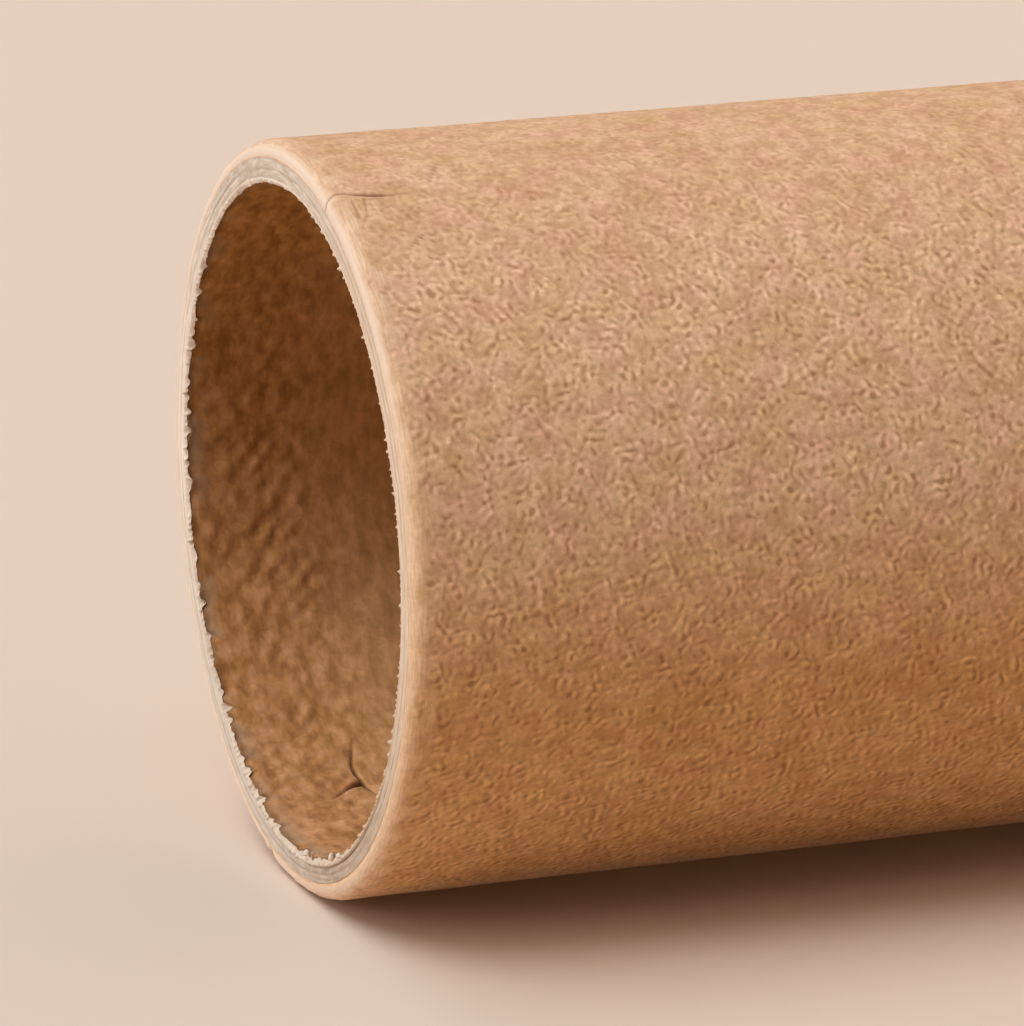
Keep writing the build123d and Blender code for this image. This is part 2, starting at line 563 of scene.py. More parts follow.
def face_height(angle, radius):
    """Height of the cut face over its plane: ply lines, streaks and pits."""
    drift = PLY_LINE_SWAY * lip_patches(angle, 1.0)
    edge_depth = PLY_EDGE_DEPTH + humps(angle, OPEN_PLY)
    edge = lip_line(angle) + PLY_EDGE_SHIFT
    relief = -edge_depth * bell(radius - edge, PLY_EDGE_HALF_WIDTH)
    for line, depth, line_half_width in PLY_LINES:
        fade = np.clip(0.55 + 0.45 * lip_patches(angle, line), 0.1, 1.2)
        relief -= depth * fade * bell(radius - line - drift, line_half_width)
    pits = smooth_step(1.2, 2.2, face_pits(angle, radius))
    return relief + STREAK_HEIGHT * face_streaks(angle, radius) - PIT_DEPTH * pits


def bore_push(angle, down):
    """How far the bore's skin lies outside its plain radius, and the three-armed tear from 0 to 1."""
    push = BORE_DENT_DEPTH * bore_dents(angle, down) + BORE_CRUMPLE_DEPTH * bore_crumple(angle, down)
    side = turn_between(angle, TEAR_ANGLE) * BORE
    place = np.full(angle.shape, down - TEAR_DROP)
    cleft = np.zeros(angle.shape)
    for arm in TEAR_ARMS:
        gap, reached = line_distance(place, side, arm)
        opening = (1 - TEAR_FADING * reached) * bell(gap, TEAR_HALF_WIDTH - TEAR_NARROWING * reached)
        cleft = np.maximum(cleft, opening)
    flap = np.exp(-((place - FLAP_DOWN) ** 2 + (side - FLAP_SIDE) ** 2) / FLAP_SPREAD)
    return push + TEAR_DEPTH * cleft - FLAP_DEPTH * flap * (1 - cleft), cleft


def face_ring(angle, share, height):
    """One ring of the cut face, at a share of the way from the lip's ply to the outer ply."""
    inner = lip_line(angle)
    place = inner + (PLY_RADIUS - inner) * share
    relief = face_height(angle, place) * smooth_step(LENGTH - FACE_EDGE_DROP, LENGTH, height)
    grey = humps(angle, *GREY_SIDES)
    crevice = hump(angle, *OPEN_PLY[:2]) * bell(place - inner - PLY_EDGE_SHIFT, PLY_EDGE_HALF_WIDTH)
    zones = zone_values(len(angle), red=crevice, green=1.0, blue=grey)
    return ring_points(angle, place, height + relief), zones


def lip_ring(angle, torn, share, height):
    """One ring of the torn lip, from the ply line at share 1 to the hanging edge at share 0."""
    wear, bite, drop = torn
    turn = (1 - share) * math.pi / 2
    start = lip_line(angle) - LIP_GAP
    band = np.maximum(start - BORE - bite, LIP_LEAST)
    fluff = hump(angle, *THICK_LIP[:2])
    fray = (LIP_FRAY + FLUFF_FRAY * fluff) * lip_grain(angle, 0.7 * (1 - share))
    fray = fray + SCALLOP_FRAY * lip_scallops(angle, 0.5)
    rise = FRAY_RISE * np.clip(lip_grain(angle, 2.0) - FRAY_FROM, 0, None) * math.sin(2 * turn)
    hang = drop * math.sin(turn) ** HANG_CURVE - rise
    lip_height = height + wear * fray * math.cos(turn) + LIP_RISE + FLUFF_RISE * fluff - hang
    return ring_points(angle, start - band * math.sin(turn), lip_height), zone_values(len(angle))


def bore_ring(angle, torn, height):
    """One ring of the bore, crowded down where the lip hangs over it."""
    wear, bite, drop = torn
    down = LENGTH - height
    push, cleft = bore_push(angle, down)
    fade = math.exp(-down / BORE_BITE_FADE)
    push = push * smooth_step(0, PLAIN_FOOT, height) + (bite + BORE_BITE) * fade
    depth = np.maximum(down, drop + BORE_CROWDING * down)
    zones = zone_values(len(angle), red=wear, green=np.minimum(drop, 1.0), blue=cleft)
    return ring_points(angle, BORE + push, LENGTH - depth), zones


def board_ring(angle, torn, radius, height, part):
    """One ring of the board, with the torn edge's wear, bite and drop at each angle."""
    if part == "face":
        return face_ring(angle, radius, height)
    if part == "lip":
        return lip_ring(angle, torn, radius, height)
    if part == "brim":
        bite, drop = torn[1:]
        points = ring_points(angle, radius + bite + BRIM_BACK, height - drop + BRIM_RISE)
        return points, zone_values(len(angle))
    if part == "bore":
        return bore_ring(angle, torn, height)
    return ring_points(angle, radius, height), zone_values(len(angle), green=float(part == "foot"))


def make_board():
    """The board and inner ply as one closed skin, with its rings finest on the cut face and the lip."""
    fine = spread_angles(BOARD_COLUMNS, (DENSE_TEAR,))
    torn = lip_wear(fine), lip_bite(fine), lip_drop(fine)
    thinned = [values[::THIN] for values in torn]
    made = []
    slots = []
    profile = board_profile()
    for index, (radius, height, part) in enumerate(profile):
        if part in ("face", "lip", "brim"):
            made.append(board_ring(fine, torn, radius, height, part))
        else:
            made.append(board_ring(fine[::THIN], thinned, radius, height, part))
        onto_bore = "bore" in (part, profile[(index + 1) % len(profile)][2])
        slots.append(0 if onto_bore else 1)
    return closed_mesh("board", made, slots)


# Torn fibres and flakes that stand off the lip

FIBRE_STATIONS = 5
FIBRE_SEED = 31
FIBRE_COUNT = 8
FIBRE_THICKNESS = 0.06
FIBRE_SINK = 0.02
FIBRE_BEND = 0.01
# Larger flakes that the photograph shows: angle in degrees, reach into the bore, width and rise
FLAKES = (
    (143, 0.4, 0.6, 0.12),
    (146, 0.35, 0.5, 0.1),
    (157, 0.5, 0.6, 0.15),
    (161, 0.3, 0.5, 0.1),
)
FLAKE_THICKNESS = 0.16
FLAKE_SINK = 0.08
FLAKE_FALL = 0.15
FLAKE_SWAY = 0.02
# What of a blade's length is set into the lip, and how far behind the torn edge it starts
BLADE_ROOT = 0.1
BLADE_BACK = 0.06
BLADE_TIP = 0.01
# How a blade narrows to its tip, and how it thins
BLADE_FULLNESS = 2.5
BLADE_ROUNDING = 0.6
BLADE_THINNING = 0.7


def blade(start, reach, sideways, bend, width, thickness):
    """Points and faces of one thin tapered blade: a diamond section along a bent line to a point."""
    points = []
    across = np.cross(reach, bend)
    across = across / np.linalg.norm(across)
    thick = np.cross(across, reach)
    thick = thick / np.linalg.norm(thick)
    for share in np.linspace(0, 1, FIBRE_STATIONS):
        middle = start + reach * share + bend * share * share + sideways * math.sin(math.pi * share)
        half = 0.5 * width * (1 - share ** BLADE_FULLNESS) ** BLADE_ROUNDING + BLADE_TIP
        deep = 0.5 * thickness * (1 - BLADE_THINNING * share)
        points += [middle + across * half, middle + thick * deep]
        points += [middle - across * half, middle - thick * deep]
    faces = []
    for station in range(FIBRE_STATIONS - 1):
        for corner in range(4):
            low = 4 * station + corner
            beside = 4 * station + (corner + 1) % 4
            faces.append((low, low + 4, beside + 4, beside))
    last = 4 * (FIBRE_STATIONS - 1)
    faces.append((0, 1, 2, 3))
    faces.append((last + 3, last + 2, last + 1, last))
    return points, faces


def lip_frame(angle):
    """Place on the torn edge at an angle, with the directions inward and round the tube."""
    inward = np.array([-math.cos(angle), -math.sin(angle), 0.0])
    around = np.array([-math.sin(angle), math.cos(angle), 0.0])
    edge = BORE + float(lip_bite(np.array([angle]))[0]) + BLADE_BACK
    return -inward * edge, inward, around


def make_lip_fibres():
    """Torn flakes where the photograph shows them, and short fibres all along the worn lip."""
    rng = np.random.default_rng(FIBRE_SEED)
    upward = np.array([0.0, 0.0, 1.0])
    made = []
    for degrees, reach, width, rise in FLAKES:
        foot, inward, around = lip_frame(math.radians(degrees))
        start = foot + upward * (LENGTH - FLAKE_SINK)
        lean = around * rng.normal(0, 0.12)
        bend = upward * (rise - FLAKE_FALL) + lean
        reach = inward * (reach + BLADE_ROOT) + lean
        made.append(blade(start, reach, around * FLAKE_SWAY, bend, width, FLAKE_THICKNESS))
    while len(made) < FIBRE_COUNT + len(FLAKES):
        angle = rng.uniform(0, math.tau)
        keep = rng.uniform() < float(lip_wear(np.array([angle]))[0]) ** 1.5
        size = rng.gamma(2.2, 0.06)
        turn = rng.normal(0, 0.7)
        drop = rng.uniform(0.0, 0.3)
        rise = rng.normal(-0.1, 0.5)
        width = rng.uniform(0.14, 0.3)
        if not keep:
            continue
        foot, inward, around = lip_frame(angle)
        start = foot + upward * (LENGTH - FIBRE_SINK - drop)
        reach = (inward * math.cos(turn) + around * math.sin(turn)) * (size + BLADE_ROOT)
        bend = upward * rise * size + inward * FIBRE_BEND
        sideways = around * rng.normal(0, 0.03)
        made.append(blade(start, reach, sideways, bend, width, FIBRE_THICKNESS))
    points, faces = [], []
    for blade_points, blade_faces in made:
        faces += [tuple(len(points) + corner for corner in face) for face in blade_faces]
        points += blade_points
    zones = zone_values(len(points), red=1.0)
    return new_piece("lip_fibres", np.array(points) * MM, faces, zones)


# Materials

def feed(socket, value):
    """Links a socket to another node's output, or gives it a value."""
    if isinstance(value, bpy.types.NodeSocket):
        socket.id_data.links.new(value, socket)
    else:
        socket.default_value = value


def new_material(name):
    """A node material with its shader, and a function that adds a node and feeds it."""
    material = bpy.data.materials.new(name)
    material.use_nodes = True
    tree = material.node_tree

    def add(kind, inputs=(), **settings):
        node = tree.nodes.new("ShaderNode" + kind)
        for key, value in settings.items():
            setattr(node, key, value)
        for key, value in dict(inputs).items():
            feed(node.inputs[key], value)
        return node

    return material, tree.nodes["Principled BSDF"], add


def paint(shader, tone, roughness, specular=0.5):
    """Gives a shader its colour and its matt finish."""
    feed(shader.inputs["Base Color"], tone)
    feed(shader.inputs["Roughness"], roughness)
    feed(shader.inputs["Specular IOR Level"], specular)


def rgb(red, green, blue):
    """A colour written as 0 to 255 screen values, as the linear colour that a shader takes."""
    shares = [value / 255 for value in (red, green, blue)]
    linear = [s / 12.92 if s <= 0.04 else ((s + 0.055) / 1.055) ** 2.4 for s in shares]
    return (*linear, 1.0)


def maths(add, operation, first, second=0.0, third=0.0):
    """One Math node's output."""
    return add("Math", {0: first, 1: second, 2: third}, operation=operation).outputs[0]


def times(add, first, second):
    """One value times another."""
    return maths(add, "MULTIPLY", first, second)


def blend(add, factor, first, second, mode="MIX"):
    """One colour mix's output."""
    inputs = {0: factor, 6: first, 7: second}
    return add("Mix", inputs, data_type="RGBA", blend_type=mode).outputs[2]


def tint(add, factor, tone, colour):
    """A tone multiplied by a linear colour, as far as the factor says."""
    return blend(add, factor, tone, (*colour, 1.0), "MULTIPLY")


def remap(add, value, low, high, to_low=0.0, to_high=1.0, soft=False):
    """A clamped change of range, linear or with soft ends."""
    inputs = {"Value": value, "From Min": low, "From Max": high, "To Min": to_low, "To Max": to_high}
    shape = "SMOOTHSTEP" if soft else "LINEAR"
    return add("MapRange", inputs, interpolation_type=shape).outputs[0]


def noise(add, place, scale, detail=0.0, roughness=0.5, sheet=True, output=0):
    """One noise value, about 0.5 in the middle, on a flat sheet or in space."""
    inputs = {"Vector": place, "Scale": scale, "Detail": detail, "Roughness": roughness}
    return add("TexNoise", inputs, noise_dimensions="2D" if sheet else "3D").outputs[output]


def ramp_colours(node, stops):
    """A colour ramp's output, with its stops set."""
    ramp = node.color_ramp
    while len(ramp.elements) < len(stops):
        ramp.elements.new(0.5)
    for element, (place, colour) in zip(ramp.elements, stops):
        element.position = place
        element.color = rgb(*colour)
    return node.outputs["Color"]


def shifted(add, place, by):
    """A place moved by a step."""
    return add("VectorMath", {0: place, 1: by}, operation="ADD").outputs[0]


def scaled(add, place, by):
    """A place times one number."""
    return add("VectorMath", {0: place, "Scale": by}, operation="SCALE").outputs[0]


def flat_place(add, across, along):
    """A place on a flat sheet, from two values."""
    return add("CombineXYZ", {"X": across, "Y": along}).outputs[0]


def place_in_mm(add):
    """Place on the tube in millimetres."""
    return scaled(add, add("TexCoord").outputs["Object"], 1 / MM)


def tube_place(add):
    """Place in millimetres as x, y and z, and the distance from the axis."""
    xyz = add("SeparateXYZ", {0: place_in_mm(add)}).outputs
    level = flat_place(add, xyz["X"], xyz["Y"])
    radius = add("VectorMath", {0: level}, operation="LENGTH").outputs["Value"]
    return xyz, radius


def zone_weights(add):
    """The mesh's zone weights as red, green and blue, and the fourth by itself."""
    zones = add("Attribute", attribute_name="zones").outputs
    return add("SeparateColor", {0: zones["Color"]}).outputs, zones["Alpha"]


def strip_place(add, xyz):
    """Place on the unwound paper strip: it jumps only where the strip's edges meet."""
    turn = maths(add, "DIVIDE", maths(add, "ARCTAN2", xyz["Y"], xyz["X"]), math.tau)
    seam_offset = seam_angle(0.0) / math.tau % 1.0
    seam = maths(add, "MULTIPLY_ADD", xyz["Z"], 1 / SEAM_PITCH, seam_offset)
    share = maths(add, "FRACT", maths(add, "SUBTRACT", turn, seam))
    across = times(add, maths(add, "ADD", seam, share), math.tau * OUTER)
    return flat_place(add, across, xyz["Z"])


def facing(add, xyz, radius, toward):
    """How far the side of the tube faces a level direction: 1 straight at it and -1 straight away."""
    across = times(add, xyz["X"], toward.x)
    rise = maths(add, "MULTIPLY_ADD", xyz["Y"], toward.y, across)
    return maths(add, "DIVIDE", rise, radius)


# Pressed fibre strokes of the kraft paper: about 0.75 mm apart, bent, and leaning on the low side
STROKE_SCALE = 0.8
STROKE_FREQUENCY = 1.7
STROKE_LEAN = math.radians(62)
STROKE_BEND = 0.6
# Noises of the paper, in waves per millimetre
SWAY_SCALE = 0.75
GRAIN_SCALE = 2.8
CLOUD_SCALE = 0.17
PATCH_SCALE = 0.35
PATCH_SHIFT = (37.0, 11.0, 0.0)
# Streaks along the rolled edge: their noise, and how it is drawn out round the rim
RIM_SCALE = 1.8
RIM_STRETCH = (0.4, 2.6)
# Paper tones with painted light and shade, lighter or darker by which way it faces, from the low side
# of the lying tube to its top
KRAFT_TONES_AND_PAINTED_SHADING = (
    (0.0, (224, 172, 115)),
    (0.22, (214, 162, 105)),
    (0.56, (227, 189, 155)),
    (0.84, (222, 184, 151)),
    (1.0, (216, 176, 143)),
)
# Tints of the paper
PATCH_YELLOW = (1.0, 1.01, 0.93)
PATCH_PINK = (1.02, 0.97, 1.0)
CLOUD_BROWN = (0.86, 0.79, 0.7)
SWAY_BROWN = (0.84, 0.79, 0.73)
GRAIN_BROWN = (0.7, 0.64, 0.58)
STROKE_LIGHT = (1.26, 1.32, 1.4)
STROKE_DARK = (0.68, 0.58, 0.5)
# Colours of the rubbed edge and its tints, the pale brink that is also a painted highlight on the far
# side, and the lines in the paper, the split's with painted shade
RUBBED_LIGHT = rgb(228, 196, 168)
RUBBED_DARK = rgb(213, 176, 145)
RUBBED_LOW = rgb(244, 205, 167)
BRINK_PALE_AND_HIGHLIGHT = rgb(234, 211, 192)
RIM_STREAK = (0.82, 0.74, 0.66)
RIM_GRAIN = (0.84, 0.78, 0.72)
SEAM_BROWN = rgb(120, 82, 50)
SPLIT_BROWN_AND_SHADE = rgb(122, 78, 48)
KRAFT_ROUGHNESS = 0.75


def kraft_material():
    """Outer kraft paper: pressed squiggles of fibre, cloudy tone with painted light and shade by which
    way it faces, and a pale, rubbed rolled edge with a painted highlight on the far side and painted
    shade in the split.
    """
    material, shader, add = new_material("kraft")
    xyz, radius = tube_place(add)
    depth = maths(add, "SUBTRACT", LENGTH, xyz["Z"])
    strip = strip_place(add, xyz)
    zone, worn = zone_weights(add)
    upper = facing(add, xyz, radius, TABLE_UP)

    sway = noise(add, strip, SWAY_SCALE, 1.0, output="Color")
    parts = add("SeparateColor", {0: sway}).outputs
    bent = shifted(add, strip, scaled(add, sway, STROKE_BEND))
    leaning = remap(add, upper, 0.4, -0.4, 0.05, 0.4)
    strokes = {
        "Vector": bent,
        "Scale": STROKE_SCALE,
        "Frequency": STROKE_FREQUENCY,
        "Anisotropy": leaning,
        "Orientation": STROKE_LEAN,
    }
    squiggle = add("TexGabor", strokes).outputs["Value"]
    grain = noise(add, strip, GRAIN_SCALE, 1.0, 0.8)
    cloud = noise(add, strip, CLOUD_SCALE, 2.0, 0.65)
    patch = noise(add, shifted(add, strip, PATCH_SHIFT), PATCH_SCALE)

    # The rolled edge is rubbed smooth: further beside the split than elsewhere
    reach = maths(add, "ADD", depth, maths(add, "SUBTRACT", radius, OUTER))
    band = maths(add, "MULTIPLY_ADD", zone["Blue"], -0.4, maths(add, "SUBTRACT", reach, 0.6))
    rubbed = maths(add, "MULTIPLY_ADD", worn, 3.0, band)
    smooth = remap(add, rubbed, 3.2, 0.2, soft=True)
    faded = remap(add, upper, 0.75, 1.0, 1.0, 0.4)
    strength = times(add, remap(add, smooth, 0.1, 0.9, 1.0, 0.4), faded)
    vivid = times(add, remap(add, parts["Green"], 0.4, 0.6, 0.4, 1.0), strength)
    light = times(add, remap(add, squiggle, 0.53, 0.69), vivid)
    dark = times(add, remap(add, squiggle, 0.47, 0.31), vivid)

    # Painted light and shade: the paper's tone follows how far the lying tube's side faces up
    tone = add("ValToRGB", {0: remap(add, upper, -0.65, 0.95)})
    tone = ramp_colours(tone, KRAFT_TONES_AND_PAINTED_SHADING)
    tone = tint(add, remap(add, patch, 0.4, 0.7), tone, PATCH_YELLOW)
    tone = tint(add, remap(add, patch, 0.5, 0.25), tone, PATCH_PINK)
    tone = tint(add, remap(add, cloud, 0.3, 0.7, 0.0, 0.75), tone, CLOUD_BROWN)
    tone = tint(add, remap(add, parts["Red"], 0.35, 0.65), tone, SWAY_BROWN)
    tone = tint(add, remap(add, grain, 0.3, 0.7, 0.0, 0.4), tone, GRAIN_BROWN)
    tone = tint(add, light, tone, STROKE_LIGHT)
    tone = tint(add, dark, tone, STROKE_DARK)

    # Rubbed paper, with streaks along the rim
    beside_split = remap(add, zone["Blue"], 0.0, 0.5)
    pale = blend(add, remap(add, worn, 0.32, 0.68), RUBBED_LIGHT, RUBBED_DARK)
    pale = blend(add, beside_split, RUBBED_LOW, pale)
    round_rim = times(add, add("SeparateXYZ", {0: strip}).outputs["X"], RIM_STRETCH[0])
    rim = flat_place(add, round_rim, times(add, reach, RIM_STRETCH[1]))
    streak = noise(add, rim, RIM_SCALE)
    pale = tint(add, remap(add, streak, 0.35, 0.65, 0.0, 0.9), pale, RIM_STREAK)
    pale = tint(add, remap(add, grain, 0.35, 0.65, 0.0, 0.4), pale, RIM_GRAIN)
    rubbed_share = remap(add, beside_split, 0.0, 1.0, 0.62, 0.74)
    tone = blend(add, times(add, smooth, rubbed_share), tone, pale)

    # The brink of the cut, pale where rubbed and palest beside the split, and a painted highlight along
    # the rolled edge on the far side
    edge = remap(add, reach, 0.25, -0.5, 0.0, 0.78)
    brink = times(add, edge, remap(add, zone["Blue"], 0.0, 0.5, 0.15, 1.0))
    far_side = remap(add, facing(add, xyz, radius, AWAY), 0.1, 0.7)
    far_edge_highlight = times(add, remap(add, reach, 1.2, 0.1, 0.0, 0.8), far_side)
    tone = blend(add, maths(add, "MAXIMUM", brink, far_edge_highlight), tone, BRINK_PALE_AND_HIGHLIGHT)
    tone = blend(add, times(add, zone["Green"], 0.45), tone, SEAM_BROWN)
    # Painted shade in the split and its creases, over the torn paper's own brown
    tone = blend(add, remap(add, zone["Red"], 0.05, 0.8, 0.0, 0.85), tone, SPLIT_BROWN_AND_SHADE)
    paint(shader, tone, KRAFT_ROUGHNESS)
    return material


# Noises of the bore, in waves per millimetre, and how far the clumps are drawn out round it
MOTTLE_SCALE = 0.22
MOTTLE_SHIFT = (53.0, 29.0, 0.0)
CLUMP_SCALE = 0.9
CLUMP_STRETCH = (0.55, 1.0, 1.0)
BORE_STROKE_SCALE = 0.6
BORE_STROKE_SHIFT = (71.0, 5.0, 0.0)
BORE_STROKE_WIDTH = 0.04
BORE_STROKE_SHARE = 0.35
# Colours and tints of the bore
BORE_DARK = rgb(173, 120, 67)
BORE_LIGHT = rgb(191, 135, 85)
CLUMP_LIGHT = rgb(220, 166, 122)
CLUMP_DARK = rgb(126, 78, 38)
RIDGE_HIGHLIGHT = (1.22, 1.26, 1.3)
CREASE_SHADE = (0.66, 0.6, 0.54)
BORE_UPPER_SHADE = (0.93, 0.89, 0.5)
BORE_LOWER_LIGHT = (1.0, 1.05, 1.16)
BORE_MOUTH_SHADE = rgb(120, 74, 30)
BORE_DEEP_LIGHT = rgb(228, 182, 130)
PEEL_GREY = rgb(160, 134, 110)
UNDER_LIP_SHADE = rgb(84, 54, 32)
TEAR_BROWN_AND_SHADE = rgb(64, 36, 20)
# Finish of the bore and the cut end
BOARD_ROUGHNESS = 0.9
BOARD_SPECULAR = 0.25


def stroke_pair(add, place):
    """Painted shade and painted highlight lines side by side, as of a crease beside a ridge, where a
    noise passes its middle value.
    """
    level = noise(add, place, BORE_STROKE_SCALE, 1.0)
    lines = []
    for middle in (0.5 + BORE_STROKE_WIDTH, 0.5 - BORE_STROKE_WIDTH):
        gap = maths(add, "ABSOLUTE", maths(add, "SUBTRACT", level, middle))
        lines.append(times(add, remap(add, gap, BORE_STROKE_WIDTH, 0.0), BORE_STROKE_SHARE))
    return lines


def bore_material():
    """Brown inner ply: mottled in soft strokes round the bore with painted highlight and shade lines,
    painted shade on its top wall, near the mouth and close under the torn lip, and painted light on its
    low wall and deeper in.
    """
    material, shader, add = new_material("bore")
    xyz, radius = tube_place(add)
    depth = maths(add, "SUBTRACT", LENGTH, xyz["Z"])
    zone = zone_weights(add)[0]

    turn = maths(add, "ARCTAN2", times(add, xyz["X"], -1.0), xyz["Y"])
    skin = flat_place(add, times(add, turn, BORE), xyz["Z"])
    upper = facing(add, xyz, radius, TABLE_UP)
    mottle = noise(add, shifted(add, skin, MOTTLE_SHIFT), MOTTLE_SCALE, 2.0, 0.6)
    drawn = add("VectorMath", {0: skin, 1: CLUMP_STRETCH}, operation="MULTIPLY").outputs[0]
    clump = noise(add, drawn, CLUMP_SCALE, 2.0, 0.6)
    crease, ridge_highlight = stroke_pair(add, shifted(add, skin, BORE_STROKE_SHIFT))
    tone = blend(add, remap(add, mottle, 0.3, 0.7), BORE_DARK, BORE_LIGHT)
    tone = blend(add, remap(add, clump, 0.5, 0.72, 0.0, 0.5), tone, CLUMP_LIGHT)
    tone = blend(add, remap(add, clump, 0.5, 0.3, 0.0, 0.5), tone, CLUMP_DARK)
    # Painted highlight on the ridge lines and painted shade on the crease lines beside them
    tone = tint(add, ridge_highlight, tone, RIDGE_HIGHLIGHT)
    tone = tint(add, crease, tone, CREASE_SHADE)
    # Painted shade on the bore's top wall, darker and warmer, and painted light on its low wall
    tone = tint(add, remap(add, upper, -0.2, 0.9), tone, BORE_UPPER_SHADE)
    tone = tint(add, remap(add, upper, -0.3, -0.9), tone, BORE_LOWER_LIGHT)
    # Painted shade near the mouth, and painted light deeper in the bore
    tone = blend(add, remap(add, depth, 2.0, 14.0, 0.15, 0.0), tone, BORE_MOUTH_SHADE)
    tone = blend(add, remap(add, depth, 6.0, 22.0, 0.0, 0.5), tone, BORE_DEEP_LIGHT)

    past_lip = maths(add, "SUBTRACT", depth, zone["Green"])
    peel = times(add, remap(add, mottle, 0.5, 0.6, 0.0, 0.6), remap(add, past_lip, 1.8, 0.6))
    tone = blend(add, times(add, peel, zone["Red"]), tone, PEEL_GREY)
    # Painted shade close under the torn lip
    tone = blend(add, remap(add, past_lip, 0.5, 0.05, 0.0, 0.55), tone, UNDER_LIP_SHADE)
    # The torn paper's own dark brown, with painted shade in the tear's gap
    tone = blend(add, remap(add, zone["Blue"], 0.15, 0.75, 0.0, 0.9), tone, TEAR_BROWN_AND_SHADE)
    paint(shader, tone, BOARD_ROUGHNESS, BOARD_SPECULAR)
    return material


# Noises of the cut end, drawn out along its rings
RING_SPREAD = 12.0
RING_LAYERS = 2.4
RING_STREAK_SCALE = 1.1
PULP_SCALE = 1.5
PULP_RELIEF = 0.04 * MM
# Colours and tints of the cut end
FACE_DARK = rgb(224, 205, 190)
FACE_LIGHT = rgb(239, 224, 211)
GREY_DARK = rgb(184, 165, 148)
GREY_LIGHT = rgb(210, 192, 176)
PULP_LIGHT = rgb(246, 232, 220)
PULP_DARK = rgb(126, 102, 84)
PLY_LINE_GREY = rgb(164, 140, 120)
CREVICE_SHADE = rgb(104, 78, 58)
CREAM_DARK = rgb(222, 200, 180)
CREAM_LIGHT = rgb(238, 220, 203)
CUT_LOW_SIDE = (0.8, 0.79, 0.78)
CUT_NEAR_SIDE = (0.88, 0.79, 0.7)
# Ply lines drawn on the cut end: radius and strength, and how far the pulp makes them wander
DRAWN_PLY_LINES = ((CORE_LINE, 0.4), (PLY_RADIUS - 0.03, 0.3))
PLY_LINE_WANDER = 0.3


def cut_material():
    """Cut end of the board: pale pulp streaked along the plies, grey in places, painted shade in the
    crevice where the lip's ply has come away, and the cream lip.
    """
    material, shader, add = new_material("cut")
    xyz, radius = tube_place(add)
    zone = zone_weights(add)[0]

    level = flat_place(add, xyz["X"], xyz["Y"])
    outward = add("VectorMath", {0: level}, operation="NORMALIZE").outputs[0]
    layers = add("CombineXYZ", {"Z": times(add, radius, RING_LAYERS)}).outputs[0]
    ringed = shifted(add, scaled(add, outward, RING_SPREAD), layers)
    streak = noise(add, ringed, RING_STREAK_SCALE, 2.0, 0.5, sheet=False)
    pulp = noise(add, ringed, PULP_SCALE, 2.0, 0.6, sheet=False)
    streaky = remap(add, streak, 0.33, 0.67)
    clear = blend(add, streaky, FACE_DARK, FACE_LIGHT)
    grey = blend(add, streaky, GREY_DARK, GREY_LIGHT)
    tone = blend(add, zone["Blue"], clear, grey)
    tone = blend(add, remap(add, pulp, 0.45, 0.75, 0.0, 0.5), tone, PULP_LIGHT)
    for line, weight in DRAWN_PLY_LINES:
        wander = maths(add, "MULTIPLY_ADD", pulp, PLY_LINE_WANDER, line - PLY_LINE_WANDER / 2)
        gap = maths(add, "ABSOLUTE", maths(add, "SUBTRACT", radius, wander))
        tone = blend(add, remap(add, gap, 0.14, 0.02, 0.0, weight), tone, PLY_LINE_GREY)
    tone = blend(add, remap(add, pulp, 0.27, 0.2, 0.0, 0.6), tone, PULP_DARK)
    # Painted shade in the crevice where the lip's ply has come away from the core
    tone = blend(add, times(add, zone["Red"], 0.8), tone, CREVICE_SHADE)
    cream = blend(add, remap(add, pulp, 0.3, 0.7), CREAM_DARK, CREAM_LIGHT)
    tone = blend(add, zone["Green"], cream, tone)
    low_side = remap(add, facing(add, xyz, radius, TABLE_UP), 0.0, -0.7)
    tone = tint(add, low_side, tone, CUT_LOW_SIDE)
    near_side = remap(add, facing(add, xyz, radius, AWAY), 0.0, -0.6)
    tone = tint(add, near_side, tone, CUT_NEAR_SIDE)
    paint(shader, tone, BOARD_ROUGHNESS, BOARD_SPECULAR)

    bump = add("Bump", {"Height": pulp, "Strength": 1.0, "Distance": PULP_RELIEF})
    feed(shader.inputs["Normal"], bump.outputs[0])
    return material


FIBRE_SCALE = 2.0
FIBRE_DARK = rgb(206, 185, 166)
FIBRE_LIGHT = rgb(228, 210, 193)
FIBRE_ROUGHNESS = 0.95


def fibre_material():
    """Torn paper fibre: cream with a little grey."""
    material, shader, add = new_material("fibre")
    mottle = noise(add, place_in_mm(add), FIBRE_SCALE, 1.0, sheet=False)
    tone = blend(add, remap(add, mottle, 0.3, 0.7), FIBRE_DARK, FIBRE_LIGHT)
    paint(shader, tone, FIBRE_ROUGHNESS)
    return material


# Stage, lights and camera, with the stage's sizes in metres

STAGE_COLOUR = rgb(208, 191, 178)
STAGE_ROUGHNESS = 0.95
FLOOR_HALF = 6.0
WALL_HALF_WIDTH = 3.0
WALL_HALF_HEIGHT = 0.75
WALL_GAP = 0.00005
